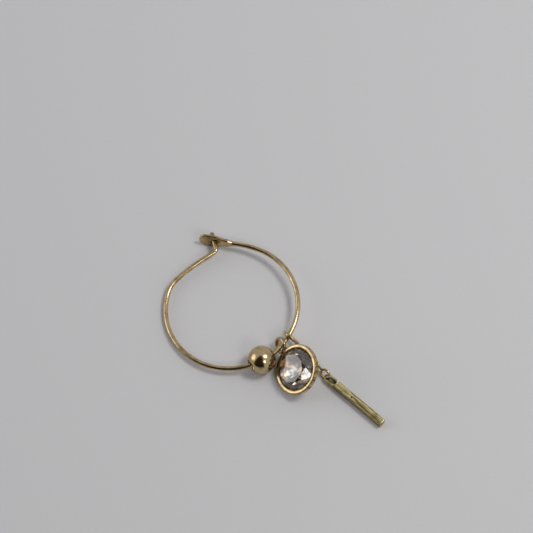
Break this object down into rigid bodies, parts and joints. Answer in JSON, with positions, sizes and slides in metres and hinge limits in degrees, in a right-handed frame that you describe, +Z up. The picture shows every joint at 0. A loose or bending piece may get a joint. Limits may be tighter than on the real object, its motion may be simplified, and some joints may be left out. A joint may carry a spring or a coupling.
{
  "type": "dangle hoop earring",
  "caption": "Hooked wire hoop earring with a polished ball bead, a bezel-set round stone and a slim bar on a short chain, lying flat.",
  "frame": {"origin": "centre of the base of the whole earring's box, on the surface it lies on", "axes": "+Z up from the surface, +Y towards the hoop's clasp, +X towards the side of the drops"},
  "size_m": [0.0308, 0.0318, 0.0051],
  "materials": {
    "polished_gold": "polished gold plate over brass",
    "green_gold": "hammered, slightly worn gold plate over brass",
    "clear_stone": "cut and polished clear stone"
  },
  "bodies": {
    "root": {"hoop_wire": "polished_gold", "round_bead": "polished_gold", "bezel_setting": "polished_gold", "round_stone": "clear_stone", "chain_jump_ring": "polished_gold", "bar_chain": "polished_gold", "bar_jump_ring": "polished_gold", "bar_pendant": "green_gold"}
  },
  "joints": []
}
